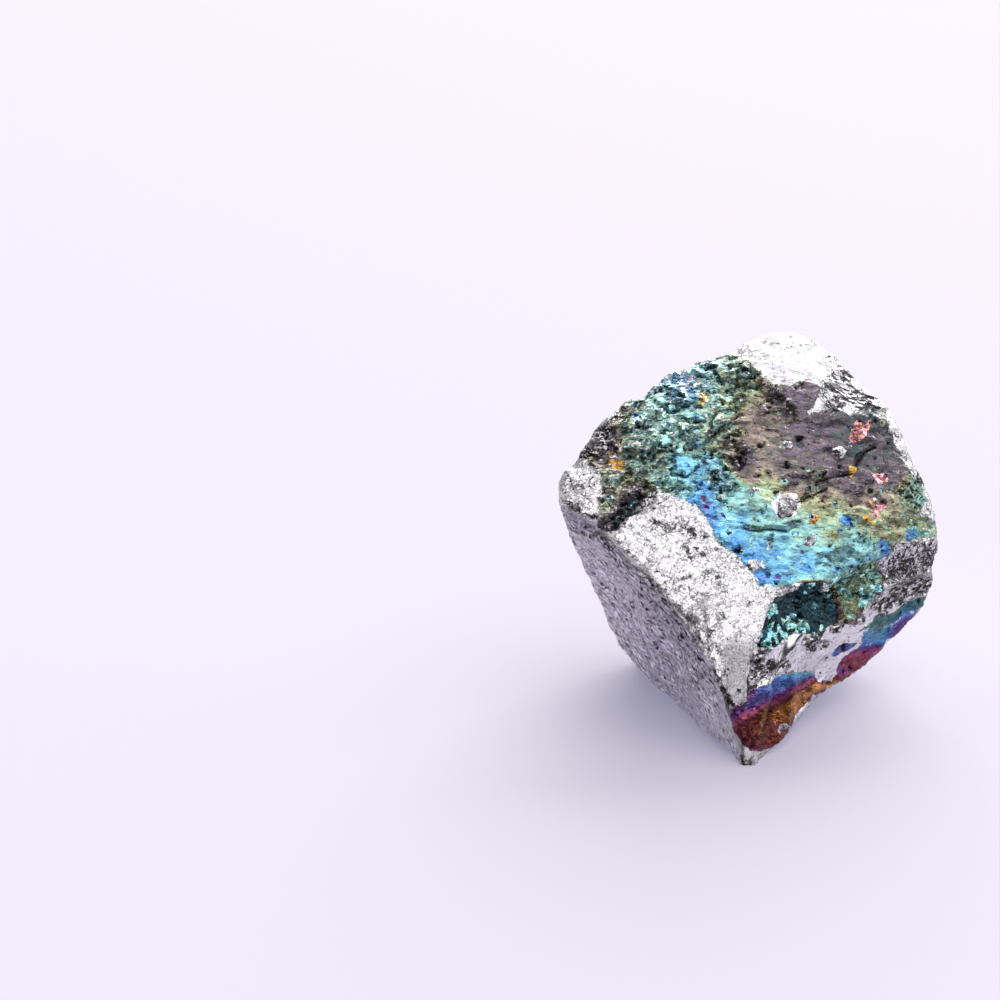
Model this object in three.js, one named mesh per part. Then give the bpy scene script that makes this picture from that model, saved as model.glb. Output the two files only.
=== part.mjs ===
// A broken lump of ferromanganese: one solid, about 76 mm wide, with flat break faces, a film face
// with a notch under its lip, and a toe and two heels that it rests on. Millimetres, +Z up.
import * as THREE from 'three';
import { ConvexHull } from 'three/addons/math/ConvexHull.js';
import { ImprovedNoise } from 'three/addons/math/ImprovedNoise.js';

const facetSize = 3.2; // longest edge of a facet
const edgeWear = 0.2; // share by which sharp ridges are rounded
const heelRadius = 5; // flat spots that the back of the lump rests on
const footMargin = 0.5; // how far past its outline a foot is still flattened
const heelHeight = 2; // what lies lower than this over a heel belongs to the foot
const toeHeight = 1;
const restClearance = 0.6; // how far the underside stays above the surface between its feet

// Waves across the break faces: low swells, coarse crystal lumps and crystal grains.
const swell = { height: 0.5, length: 15, shift: 0.3 };
const lumps = { height: 0.6, length: 4.6, shift: 7.1 };
const grain = { height: 0.35, length: 2.6, shift: 2.7 };
const filmSmoothing = 0.4; // share of the lumps and grains that the film face and the cap lack
const capSmoothing = 0.6;

// Where each face begins and is full: a height or a lean of the surface, in mm or as a share.
const filmLimits = { aboveFoot: [0, 1.5], upward: [0.4, 0.6] };
const capLimits = { height: [56, 59], upward: [0.6, 0.8], middle: 9, droop: 0.25 };
const leftLimits = { leftward: [0.4, 0.6], downward: [0, 0.2] };
const backLimits = { backward: [0.3, 0.6] };

// Stairs: steps of a height and pitch that rise in one direction and wander from side to side.
const filmLedges = {
  height: 0.7, pitch: 5.5, rise: new THREE.Vector3(0.25, 1, 0.35),
  wander: { height: 5, length: 17, shift: 3 },
};
const riserShare = 0.25; // share of the pitch over which a step climbs
const capSteps = {
  height: 0.5, pitch: 3.4, rise: new THREE.Vector3(-0.5, 1, 0), wander: { height: 2, length: 9, shift: 5 },
};
const backSteps = {
  height: 0.9, pitch: 13, rise: new THREE.Vector3(0.4, 0, 1), wander: { height: 5, length: 22, shift: 9 },
};
// The left face is streaked along its length, from the toe to the left corner.
const streak = new THREE.Vector3(-0.65, 0.47, 0.6).normalize();
const streakStretch = 0.65;

// Corners, from the tip of the toe: x to the right, y to the back, z up.
// The middle of the lump, which every corner looks out from.
const heart = new THREE.Vector3(2, 40, 31);

// The three feet: the worn end of the toe in front, and two heels behind, given by their middles.
const toe = [[-1, 0, 0], [2, 0, 0], [-2, 3.5, 0], [3.5, 3.5, 0], [2, 6, 0]];
const heels = [[-14, 54, 0], [15.5, 57, 0]];
const heelCorners = heels.flatMap(([x, y]) => [0, 60, 120, 180, 240, 300].map((degrees) => {
  const angle = THREE.MathUtils.degToRad(degrees);
  return [x + heelRadius * Math.cos(angle), y + heelRadius * Math.sin(angle), 0];
}));

// The edge between the bright front face and the left face, from the toe up.
const leftEdge = [
  [-0.5, 0.5, 3.5], [-2, 3.5, 9], [-4.5, 5.5, 13.5], [-7.5, 8.5, 19], [-12, 12.5, 26], [-16, 15, 30],
  [-20, 17, 32], [-23.5, 19.5, 36], [-27.5, 22, 39], [-32, 25, 41.5], [-35.5, 28.5, 44],
];
// Where the left face turns under, from the toe up.
const leftRim = [
  [-4.5, 8, 0.8], [-6, 11.5, 0.8], [-8, 16, 1], [-10.5, 26, 1.2], [-12.5, 29.5, 2], [-15, 32.5, 3],
  [-19, 37.5, 5.5], [-23, 40.5, 9], [-25.5, 40.5, 15],
  [-27.5, 38.5, 21.5], [-30, 36, 27.5], [-33, 33, 34], [-35, 31.5, 40],
];
// The blunt edge down the front face, and the one where it turns to the right face.
const frontEdge = [[-3, 4.5, 12], [-3.5, 7, 18], [-4, 11, 26]];
const rightEdge = [[-1, 4.5, 11], [1.5, 7.5, 17], [2.5, 9.5, 20.5], [4, 12, 24.5], [6.5, 15.5, 28]];

// The foot of the film face, along the top of the bright front face.
const filmFoot = [
  [7, 18, 29.5], [2.5, 18.5, 30.5], [-1, 21, 35], [-4, 22.5, 37.5], [-6, 24.5, 40], [-10, 27, 44],
  [-14, 28.5, 45], [-18, 30, 44.5], [-22, 28, 41.5], [-26, 25.5, 39],
];
// The low cliff above the left end of that foot.
const cliffTop = [[-19, 30, 46.5], [-23, 28, 44.5], [-27, 25.5, 42]];
// Its lip over the notch, out to the right corner.
const filmLip = [
  [11, 19.5, 29], [16, 21, 29], [22, 26, 29.5], [26, 29.5, 32], [31.5, 33, 33.5], [36, 36, 32],
  [39.5, 38, 32],
];
const filmFace = [
  [-4, 30.5, 43.5], [3, 24.5, 37], [12, 24, 33.5], [7, 34.5, 46], [18.5, 34.5, 42], [27, 39.5, 44.5],
  [32.5, 39.5, 40.5], [23, 46, 51], [12.5, 42, 51.5], [2, 45, 55.5], [26.5, 31.5, 36.5], [-1, 38.5, 50],
  [34.5, 44, 45],
];
// The left part of the film face, turned to the left, with a valley between the two.
const westFace = [
  [-7, 34.5, 48], [-5.5, 44, 55], [-9, 48.5, 58.5], [-16, 41.5, 54.5], [-21, 36.5, 50.5], [-11.5, 37, 51],
  [-27.5, 31.5, 47], [-23, 32, 47.5], [-16.5, 33, 47.5], [-30.5, 28, 44.5],
];
// The notch under the lip: its floor, and the foot where the right face starts.
const notchFloor = [
  [8.5, 19.5, 25], [11, 23, 25.8], [15, 26, 26], [19.5, 29, 26.5], [23.5, 30.5, 27.5],
  [6.5, 14.5, 22.5], [9.5, 17.5, 22.5], [14, 21.5, 22.5], [19, 25, 23], [23, 27.5, 23.5],
];
const notchFoot = [[6, 12, 20.5], [11.5, 15.5, 20], [17, 20.5, 20], [23.5, 25.5, 20.5]];
const rightPatch = [[28, 31, 24.5], [34, 36.5, 27], [38.5, 40, 27.5]];
const rightFace = [
  [6, 10.5, 15.5], [11, 16, 16.5], [11.5, 18.5, 10.5], [18, 22.5, 17], [18.5, 25.5, 11.5], [25, 29, 17],
  [25.5, 31.5, 12], [31.5, 34, 20],
];
// The toe's right side flares out below a crease that crosses the right face.
const toeCrease = [[5, 11, 8], [10, 16, 6.5], [14.5, 21.5, 5]];
// Where the right face turns under, from the toe up to the right corner.
const rightRim = [
  [6, 6, 1.2], [9, 10.5, 1.8], [11.5, 17, 2.2], [14, 21.5, 3.5], [17.5, 26.5, 5], [21.5, 29.5, 5.5],
  [25.5, 32.5, 7.5], [29.5, 34.5, 10.5], [33.5, 36, 14], [37, 37.5, 17.5], [39.5, 39.5, 20.5],
  [40, 40.5, 25], [40.5, 40.5, 29],
];
// The skyline, from the right corner over the cap to the left corner.
const skyline = [
  [40, 40.5, 34], [40, 42.5, 37], [38.5, 44.5, 41.5], [36.5, 47, 45], [34.5, 49.5, 48.5], [32, 51.5, 51.5],
  [32.5, 55.5, 53.5], [29.5, 58, 56], [26.5, 61, 58], [24, 62.5, 60.5], [21, 64.5, 63.5], [17, 66, 66.3],
  [12.5, 67, 68], [8, 66, 68], [2, 62, 66], [-2, 60, 64.5], [-6.5, 58.5, 64], [-10.5, 56, 62],
  [-14.5, 53.5, 61], [-17.5, 51, 58.2], [-19.5, 49.5, 58.2], [-24.5, 45.5, 56], [-28.5, 41, 52.8],
  [-31.5, 37, 49.8], [-34.5, 34.5, 48.3], [-36, 32, 46.3],
];
// The foot of the bright cap, where the film face ends.
const capFoot = [
  [3, 55.5, 64], [7, 51.5, 61.5], [12, 50, 60], [16.5, 50.5, 59.5], [15, 47, 56.5], [20.5, 48, 55.5],
  [26, 50.5, 55],
];

// The back, broken across in large faces, and the underside between the feet.
const backFaces = [
  [-31, 48, 31], [-29, 57, 45], [-24, 61, 15], [-12, 67, 52], [-14, 70, 26], [3, 73, 50], [6, 72, 22],
  [24, 67, 48], [25, 67, 18], [37, 52, 37], [34, 54, 17], [16, 70, 40],
];
const underside = [
  [1, 20, 2.2], [8, 30, 4.5], [-4, 34, 2.2], [-12, 43, 3], [1, 50, 2.5], [18, 40, 7.5], [27, 46, 9],
  [-20, 52, 5], [24, 58, 6],
];

const corners = [
  toe, heels, heelCorners, leftEdge, leftRim, frontEdge, rightEdge, filmFoot, cliffTop, filmLip, filmFace,
  westFace, notchFloor, notchFoot, rightPatch, rightFace, toeCrease, rightRim, skyline, capFoot, backFaces,
  underside,
].flat();

// Pits and knobs of the film face: [x, y, z, radius, height], height below zero for a pit.
const spotSharpness = 2;
const spots = [
  [4.5, 31, 43, 3.4, 0.9], [-8, 38, 51, 4, -1.4], [-2, 40, 51.5, 3, -1], [23, 36, 42, 2.4, -0.7],
  [14, 30, 39, 2.2, -0.6], [29, 36, 38, 2.4, -0.7], [17, 42, 51, 2.2, 0.6], [8, 41, 51, 2, 0.5],
  [-20, 33, 48.5, 3.5, -0.9], [1, 19, 31.5, 1.8, 0.7], [-24, 40, 53, 3, -0.7], [26, 42, 48, 2.5, 0.6],
];

const noise = new ImprovedNoise();

// Two octaves of noise at a place, for waves of one kind.
function wave(point, { height, length, shift }) {
  const x = point.x / length + shift;
  const y = point.y / length + shift;
  const z = point.z / length;
  return height * (noise.noise(x, y, z) + 0.5 * noise.noise(2 * x, 2 * y, 2 * z));
}

// Stairs of one kind: each step climbs over its first part, and its top falls back gently.
function stair(point, { height, pitch, rise, wander }) {
  const climb = (point.dot(rise) + wave(point, wander)) / pitch;
  const part = climb - Math.floor(climb);
  return height * (THREE.MathUtils.smoothstep(part, 0, riserShare) - part);
}

// Triangles between neighbouring corners, as seen from the heart.
function joinCorners(points) {
  const places = points.map((point) => point.clone().sub(heart).normalize());
  const order = new Map(places.map((place, index) => [place, index]));
  const hull = new ConvexHull().setFromPoints(places);
  return hull.faces.map((face) => {
    const edge = face.edge;
    return [edge.tail().point, edge.head().point, edge.next.head().point].map((place) => order.get(place));
  });
}

// Halves every edge longer than the facet size, and repeats until none is left.
function splitEdges(points, triangles) {
  const middles = new Map();
  const middleOf = (a, b) => {
    if (points[a].distanceTo(points[b]) <= facetSize) {
      return -1;
    }
    const key = a < b ? `${a},${b}` : `${b},${a}`;
    if (!middles.has(key)) {
      middles.set(key, points.length);
      points.push(points[a].clone().lerp(points[b], 0.5));
    }
    return middles.get(key);
  };
  const split = [];
  for (const [a, b, c] of triangles) {
    const ab = middleOf(a, b);
    const bc = middleOf(b, c);
    const ca = middleOf(c, a);
    split.push(...splitTriangle([a, b, c], [ab, bc, ca], points));
  }
  return middles.size > 0 ? splitEdges(points, split) : split;
}

// The triangles that one triangle becomes; a middle of -1 is an edge left whole.
function splitTriangle(ring, middles, points) {
  const halved = middles.filter((middle) => middle >= 0).length;
  if (halved === 0) {
    return [ring];
  }
  // The first edge of the turned triangle is halved, and with two halved edges the last is the whole one.
  let turn = middles.findIndex((middle) => middle >= 0);
  if (halved === 2) {
    turn = (middles.findIndex((middle) => middle < 0) + 1) % 3;
  }
  const [a, b, c] = [0, 1, 2].map((step) => ring[(turn + step) % 3]);
  const [ab, bc, ca] = [0, 1, 2].map((step) => middles[(turn + step) % 3]);
  if (halved === 1) {
    return [[a, ab, c], [ab, b, c]];
  }
  if (halved === 3) {
    return [[a, ab, ca], [ab, b, bc], [ca, bc, c], [ab, bc, ca]];
  }
  if (points[a].distanceTo(points[bc]) < points[ab].distanceTo(points[c])) {
    return [[ab, b, bc], [a, ab, bc], [a, bc, c]];
  }
  return [[ab, b, bc], [a, ab, c], [ab, bc, c]];
}

function neighboursOf(count, triangles) {
  const neighbours = Array.from({ length: count }, () => new Set());
  for (const [a, b, c] of triangles) {
    neighbours[a].add(b).add(c);
    neighbours[b].add(c).add(a);
    neighbours[c].add(a).add(b);
  }
  return neighbours;
}

function wearEdges(points, neighbours) {
  const means = neighbours.map((ring) => {
    const mean = new THREE.Vector3();
    ring.forEach((index) => mean.add(points[index]));
    return mean.divideScalar(ring.size);
  });
  points.forEach((point, index) => point.lerp(means[index], edgeWear));
}

function normalsOf(points, triangles) {
  const normals = points.map(() => new THREE.Vector3());
  for (const [a, b, c] of triangles) {
    const face = points[b].clone().sub(points[a]).cross(points[c].clone().sub(points[a]));
    [a, b, c].forEach((index) => normals[index].add(face));
  }
  return normals.map((normal) => normal.normalize());
}

// The height of the film face's foot and lip at a given x.
function filmFootHeight(x) {
  const line = [...filmFoot, ...filmLip].sort((a, b) => a[0] - b[0]);
  const after = line.findIndex((corner) => corner[0] > x);
  if (after <= 0) {
    return after === 0 ? line[0][2] : line[line.length - 1][2];
  }
  const [x0, , z0] = line[after - 1];
  const [x1, , z1] = line[after];
  return THREE.MathUtils.lerp(z0, z1, (x - x0) / (x1 - x0));
}

// Shares of the film face, the cap, the left face and the back at a place: 1 on one, 0 on the others.
function facesAt(point, normal) {
  const { smoothstep } = THREE.MathUtils;
  const aboveFoot = smoothstep(point.z - filmFootHeight(point.x), ...filmLimits.aboveFoot);
  const capRim = capLimits.droop * Math.abs(point.x - capLimits.middle);
  const cap = smoothstep(point.z - capRim, ...capLimits.height) * smoothstep(normal.z, ...capLimits.upward);
  const film = aboveFoot * smoothstep(normal.z, ...filmLimits.upward) * (1 - cap);
  const leftward = smoothstep(-normal.x, ...leftLimits.leftward);
  const left = leftward * smoothstep(-normal.z, ...leftLimits.downward);
  const back = smoothstep(normal.y, ...backLimits.backward);
  return { film, cap, left, back };
}

function relief(point, normal) {
  const { film, cap, left, back } = facesAt(point, normal);
  const streaked = point.clone().addScaledVector(streak, -streakStretch * left * point.dot(streak));
  const rough = 1 - filmSmoothing * film - capSmoothing * cap;
  let height = wave(point, swell) + rough * (wave(streaked, lumps) + wave(streaked, grain));
  height += film * stair(point, filmLedges) + cap * stair(point, capSteps) + back * stair(point, backSteps);
  for (const [x, y, z, radius, spotHeight] of spots) {
    const reach = point.distanceTo(new THREE.Vector3(x, y, z)) / radius;
    height += spotHeight * Math.exp(-spotSharpness * reach * reach);
  }
  return height;
}

// The feet end flat on the surface, and nothing else comes near it.
function settle(point) {
  const onHeel = heels.some(([x, y]) => Math.hypot(point.x - x, point.y - y) < heelRadius + footMargin);
  const onToe = point.y < toe[toe.length - 1][1] + footMargin && point.z < toeHeight;
  if (onHeel && point.z < heelHeight) {
    point.z = 0;
  } else if (onToe) {
    point.z = point.z < restClearance ? 0 : point.z;
  } else {
    point.z = Math.max(point.z, restClearance);
  }
}

function lumpGeometry() {
  const points = corners.map((corner) => new THREE.Vector3(...corner));
  const triangles = splitEdges(points, joinCorners(points));
  wearEdges(points, neighboursOf(points.length, triangles));
  const normals = normalsOf(points, triangles);
  points.forEach((point, index) => point.addScaledVector(normals[index], relief(point, normals[index])));
  points.forEach(settle);
  const geometry = new THREE.BufferGeometry().setFromPoints(points);
  geometry.setIndex(triangles.flat());
  geometry.computeBoundingBox();
  const middle = geometry.boundingBox.getCenter(new THREE.Vector3());
  geometry.translate(-middle.x, -middle.y, -geometry.boundingBox.min.z);
  geometry.computeVertexNormals();
  return geometry;
}

const metal = new THREE.MeshStandardMaterial({ color: 0xb9b6bd, roughness: 0.4, metalness: 1 });
const lump = new THREE.Mesh(lumpGeometry(), metal);
lump.name = 'ferromanganese_lump';

const ferromanganese = new THREE.Group();
ferromanganese.add(lump);
export default ferromanganese;
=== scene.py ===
import math
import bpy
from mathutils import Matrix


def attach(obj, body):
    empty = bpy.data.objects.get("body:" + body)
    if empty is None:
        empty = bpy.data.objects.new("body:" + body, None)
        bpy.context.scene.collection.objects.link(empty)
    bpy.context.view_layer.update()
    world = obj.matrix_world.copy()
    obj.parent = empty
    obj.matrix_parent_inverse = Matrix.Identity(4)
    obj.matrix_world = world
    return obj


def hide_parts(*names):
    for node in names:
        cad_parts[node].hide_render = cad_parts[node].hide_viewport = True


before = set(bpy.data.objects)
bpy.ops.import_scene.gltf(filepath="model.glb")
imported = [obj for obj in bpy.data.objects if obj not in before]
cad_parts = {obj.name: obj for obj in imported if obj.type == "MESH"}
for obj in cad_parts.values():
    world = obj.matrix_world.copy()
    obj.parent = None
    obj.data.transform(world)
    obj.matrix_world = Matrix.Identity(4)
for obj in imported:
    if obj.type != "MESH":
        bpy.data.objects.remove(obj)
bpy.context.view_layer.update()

from types import SimpleNamespace
import bmesh
import bpy
import numpy as np
from mathutils import Vector, noise

mm = 0.001
lumpNode = "ferromanganese_lump"
scene = bpy.context.scene

# Where the viewer stands, in mm from the middle of the lump's base. The front's markings are laid out on
# the plane that is square to this view and goes through the tip of the toe: u to the right, v up, in mm.
viewer = {
    "place": (-49.1, -610.9, 239.7),
    "tilt": 72,  # degrees up from looking straight down
    "lens": 117.47,
    "sensor": 36,
    "toe": (-2.35, -36.84, 0),
}


def placed(name, data):
    thing = bpy.data.objects.new(name, data)
    scene.collection.objects.link(thing)
    return thing


def makeCamera():
    data = bpy.data.cameras.new("camera")
    data.lens = viewer["lens"]
    data.sensor_width = viewer["sensor"]
    data.clip_start = 0.01
    data.clip_end = 50
    camera = placed("camera", data)
    camera.location = Vector(viewer["place"]) * mm
    camera.rotation_euler = (math.radians(viewer["tilt"]), 0, 0)
    scene.camera = camera


studio = {
    "floorSize": 12,
    "floorColour": (0.450, 0.414, 0.447),
    "floorGlow": (0.20, 0.20, 0.28),  # the sheet is lit a little from below, which fills the shadow
    "floorRoughness": 0.9,
    "skyColour": (0.99, 0.975, 1.0),
    "skyLeft": 0.75,  # the pale paper sweep, brighter on the right
    "skyRight": 1.45,
    "skyTurn": (-0.3, 0.6),
    "ceiling": 1.7,  # the big softbox overhead, a little to the front and the right
    "ceilingTowards": (0.30, -0.30, 0.905),
    "ceilingEdge": (0.76, 0.86),  # where it begins and is full
    "room": 0.03,  # the dark room behind the viewer
    "roomEdge": (-0.10, 0.25),  # how far round towards the viewer it begins and is full
    "key": {"from": (0.20, 0.86, 0.47), "angle": 46, "strength": 3.2},  # the window behind
}


def floorPaper():
    material = bpy.data.materials.new("floorPaper")
    material.use_nodes = True
    shader = material.node_tree.nodes["Principled BSDF"]
    shader.inputs["Base Color"].default_value = (*studio["floorColour"], 1)
    shader.inputs["Roughness"].default_value = studio["floorRoughness"]
    shader.inputs["Emission Color"].default_value = (*studio["floorGlow"], 1)
    shader.inputs["Emission Strength"].default_value = 1
    return material


def makeFloor():
    half = studio["floorSize"] / 2
    corners = [(-half, -half, 0), (half, -half, 0), (half, half, 0), (-half, half, 0)]
    mesh = bpy.data.meshes.new("floor")
    mesh.from_pydata(corners, [], [(0, 1, 2, 3)])
    mesh.materials.append(floorPaper())
    placed("floor", mesh)


def makeKey():
    data = bpy.data.lights.new("keyWindow", "SUN")
    data.angle = math.radians(studio["key"]["angle"])
    data.energy = studio["key"]["strength"]
    lamp = placed("keyWindow", data)
    lamp.rotation_euler = Vector(studio["key"]["from"]).to_track_quat("Z", "Y").to_euler()


# Helpers for building node trees. Sizes are in mm.

def feed(socket, value):
    if isinstance(value, bpy.types.NodeSocket):
        socket.id_data.links.new(value, socket)
    else:
        socket.default_value = value


# Adds a node to the tree that is given, or else to the one that its inputs come from.
def addNode(kind, inputs=None, tree=None, **settings):
    values = (inputs or {}).values()
    tree = tree or next(value.id_data for value in values if isinstance(value, bpy.types.NodeSocket))
    node = tree.nodes.new(kind)
    for name, value in settings.items():
        setattr(node, name, value)
    for socket, value in (inputs or {}).items():
        feed(node.inputs[socket], value)
    return node


def calc(operation, *values):
    return addNode("ShaderNodeMath", dict(enumerate(values)), operation=operation).outputs[0]


def times(value, *others):
    for other in others:
        value = calc("MULTIPLY", value, other)
    return value


def added(value, *others):
    for other in others:
        value = calc("ADD", value, other)
    return value


def timesPlus(value, factor, amount):
    return calc("MULTIPLY_ADD", value, factor, amount)


def less(value, amount):
    return calc("SUBTRACT", value, amount)


def calcVector(operation, *values):
    node = addNode("ShaderNodeVectorMath", dict(enumerate(values)), operation=operation)
    return node.outputs["Value" if operation == "DOT_PRODUCT" else "Vector"]


def scaled(vector, factor):
    inputs = {0: vector, "Scale": factor}
    return addNode("ShaderNodeVectorMath", inputs, operation="SCALE").outputs["Vector"]


def fade(value, low, high, start=0.0, end=1.0):
    inputs = {"Value": value, "From Min": low, "From Max": high, "To Min": start, "To Max": end}
    return addNode("ShaderNodeMapRange", inputs, interpolation_type="SMOOTHSTEP").outputs["Result"]


def split(vector):
    return addNode("ShaderNodeSeparateXYZ", {0: vector}).outputs


# A vertex value by its name, in the relief's tree or the finish's.
def marked(at, name):
    if at.tree.type == "GEOMETRY":
        node = addNode("GeometryNodeInputNamedAttribute", {"Name": name}, at.tree, data_type="FLOAT")
        return node.outputs["Attribute"]
    return addNode("ShaderNodeAttribute", tree=at.tree, attribute_name=name).outputs["Fac"]


def clouds(place, rate, detail=2.0, rough=0.5, output=0):
    inputs = {"Vector": place, "Scale": rate, "Detail": detail, "Roughness": rough}
    return addNode("ShaderNodeTexNoise", inputs).outputs[output]


# Swirls a place by up to about half of amount, in swirls of this size.
def warped(place, size, amount):
    swirl = calcVector("SUBTRACT", clouds(place, 1 / size, output=1), (0.5, 0.5, 0.5))
    return calcVector("ADD", place, scaled(swirl, amount))


# Stretches a pattern along a direction: keep is the share of the pattern's rate that is left along it.
def drawnOut(place, direction, keep):
    along = calcVector("DOT_PRODUCT", place, direction)
    return calcVector("ADD", place, scaled(direction, times(along, keep - 1)))


def mixed(share, first, second, kind="FLOAT"):
    sockets = {"FLOAT": (2, 3), "VECTOR": (4, 5), "RGBA": (6, 7)}[kind]
    node = addNode("ShaderNodeMix", {0: share, sockets[0]: first, sockets[1]: second}, data_type=kind)
    return node.outputs[{"FLOAT": 0, "VECTOR": 1, "RGBA": 2}[kind]]


def cells(place, rate, feature="F1", randomness=1.0):
    inputs = {"Vector": place, "Scale": rate, "Randomness": randomness}
    return addNode("ShaderNodeTexVoronoi", inputs, feature=feature).outputs


# Random flat facets: each cell leans its own way.
def facetLean(cell):
    return calcVector("SUBTRACT", cell["Color"], (0.5, 0.5, 0.5))


def facetHeight(place, rate):
    cell = cells(place, rate)
    offset = calcVector("SUBTRACT", place, cell["Position"])
    return calcVector("DOT_PRODUCT", offset, facetLean(cell))


def makeWorld():
    world = bpy.data.worlds.new("studio")
    scene.world = world
    world.use_nodes = True
    tree = world.node_tree
    direction = addNode("ShaderNodeTexCoord", tree=tree).outputs["Generated"]
    axes = split(direction)
    towards = times(axes["Y"], -1)
    sky = fade(axes["X"], *studio["skyTurn"], studio["skyLeft"], studio["skyRight"])
    around = mixed(fade(towards, *studio["roomEdge"]), sky, studio["room"])
    middle = tuple(Vector(studio["ceilingTowards"]).normalized())
    nearness = calcVector("DOT_PRODUCT", direction, middle)
    light = mixed(fade(nearness, *studio["ceilingEdge"]), around, studio["ceiling"])
    background = tree.nodes["Background"]
    feed(background.inputs["Strength"], light)
    background.inputs["Color"].default_value = (*studio["skyColour"], 1)


makeCamera()
makeFloor()
makeKey()
makeWorld()
scene.view_settings.view_transform = "Standard"
print("studio made")


# The lump's skin: an evenly meshed copy of the solid, fine enough for the pits, ledges and facets.
skin = {
    "grain": 0.57,  # mm, side of the mesh's squares
    "smoothing": 6,  # rounds of smoothing, each of which pulls a point this far towards its neighbours
    "pull": 0.5,
    "still": 0.15,  # mm, below which the mesh stays as it is, so that the lump still rests
}


def frontMap(points):
    tilt = math.radians(viewer["tilt"])
    forward = np.array((0, math.sin(tilt), -math.cos(tilt)))
    up = np.array((0, math.cos(tilt), math.sin(tilt)))
    reach = points - np.array(viewer["place"])
    toeReach = np.array(viewer["toe"]) - np.array(viewer["place"])
    grow = (toeReach @ forward) / (reach @ forward)
    return reach[:, 0] * grow - toeReach[0], (reach @ up) * grow - toeReach @ up


def facing(points, normals):
    sight = np.array(viewer["place"]) - points
    return np.einsum("ij,ij->i", sight, normals) / np.linalg.norm(sight, axis=1)


def plainMesh(piece):
    graph = bpy.context.evaluated_depsgraph_get()
    made = bpy.data.meshes.new_from_object(piece.evaluated_get(graph), preserve_all_data_layers=True,
                                           depsgraph=graph)
    piece.modifiers.clear()
    old = piece.data
    piece.data = made
    bpy.data.meshes.remove(old)
    made.name = piece.name


def copySolid():
    piece = placed("lump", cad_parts[lumpNode].data.copy())
    piece.data.materials.clear()
    evenly = piece.modifiers.new("even", "REMESH")
    evenly.mode = "VOXEL"
    evenly.voxel_size = skin["grain"] * mm
    plainMesh(piece)
    work = bmesh.new()
    work.from_mesh(piece.data)
    loose = [vert for vert in work.verts if vert.co.z > skin["still"] * mm]
    for step in range(skin["smoothing"]):
        bmesh.ops.smooth_vert(work, verts=loose, factor=skin["pull"], use_axis_x=True, use_axis_y=True,
                              use_axis_z=True)
    work.to_mesh(piece.data)
    work.free()
    print("solid copied:", len(piece.data.polygons), "squares")
    return piece


# Where the heat-tinted film lies: regions of the front's plane, later ones over earlier ones. The film's
# thickness, from 0 to 1, sets its colour: pink, gold, orange, brown, magenta, violet, blue, teal, green,
# olive, mauve, grey and blue-black in turn. A region's edge is ragged and soft by so many mm; mottle is
# how far its colour wanders, glint the share of bright facets, worn how far bare flecks show and tone its
# brightness. A stain is u, v, reach, thickness and how broken it is there.
film = {}
film["slope"] = {
    "outline": [
        (-28, 45), (-28, 51), (-26.5, 54), (-32, 59), (-29.5, 63), (-21, 71), (-15.5, 74.5), (-8.5, 78.5),
        (-1, 78), (5.5, 72.3), (11.5, 73.5), (14.5, 71.5), (12, 67.5), (16.5, 67.5), (20, 67), (23, 69),
        (27, 68), (27, 63), (29.5, 59.5), (30.5, 55.5), (33, 53.5), (34.5, 51), (33.5, 48.5), (36.5, 46),
        (36, 43), (32, 42.5), (28.5, 43), (27.5, 41), (24, 38.5), (21.5, 36.5), (16, 34), (10.5, 34.5),
        (2, 34.5), (1.5, 36.5), (-2, 40.5), (-5, 43), (-9.5, 49.5), (-14, 52), (-18, 52), (-21, 48.5),
        (-25.5, 44.5),
    ],
    "ragged": 1.0, "mottle": 0.85, "worn": 0.24, "tone": 1.3,
    "stains": [
        (-8, 50, 3, 0.46, 0.5), (-1, 43, 5, 0.46, 0.3), (5, 38, 4, 0.47, 0.4), (6, 42, 5, 0.51, 0.2),
        (11, 40, 5, 0.53, 0.2), (1.5, 49, 4, 0.63, 0.2), (10, 46, 5, 0.67, 0.15), (18, 42, 4, 0.57, 0.2),
        (18, 38, 4, 0.56, 0.4), (4, 53, 3, 0.66, 0.2), (12, 51, 3, 0.71, 0.5), (18, 48, 3, 0.72, 0.5),
        (25, 45, 3, 0.69, 0.5), (33, 52, 4, 0.64, 0.7), (25, 50, 3, 0.74, 0.4), (33, 46, 3, 0.66, 0.7),
        (9, 60, 6, 0.835, 0.1), (19, 54, 4, 0.83, 0.2), (14, 56, 4, 0.84, 0.3), (4.5, 69, 4, 0.8, 0.85),
        (3, 62, 4, 0.745, 0.2), (9, 56, 2, 0.82, 0.85), (13.5, 54.5, 2, 0.84, 0.7), (-2, 60, 3, 0.9, 0.7),
        (19, 64, 6, 0.91, 0.1), (26, 61, 5, 0.9, 0.3), (13, 71, 3, 0.85, 0.2), (-15, 64, 5, 0.59, 0.9),
        (-11, 57, 3, 0.51, 0.5), (-18, 57, 4, 0.62, 0.9), (-7, 66, 5, 0.62, 0.85), (-5, 53, 2, 0.6, 0.9),
        (-14, 72, 4, 0.52, 1), (-9, 75, 3, 0.53, 1), (-2, 73, 4, 0.63, 0.8), (-22, 48, 3, 0.96, 0.7),
        (-25, 53, 4, 0.66, 1), (-27, 62, 4, 0.9, 1), (-22, 66, 4, 0.64, 1),
    ],
}
# The notch under the lip is painted near black: partly the film's own dark colour, partly painted shade
# of the recess.
film["notch"] = {
    "outline": [
        (6, 32), (10.5, 34.5), (16, 34.5), (21.5, 37), (24, 38.5), (27, 36.5), (26, 34), (24, 32),
        (21.5, 27), (15.5, 27), (13, 25), (9, 25), (4.5, 22.5), (2, 22.5), (4.5, 29.5),
    ],
    "ragged": 0.5, "mottle": 0.1, "glint": 0.45, "tone": 1.5,
    "stains": [(12, 30, 8, 0.99, 0.9), (7, 33, 2, 0.97, 0.9)],
}
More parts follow.
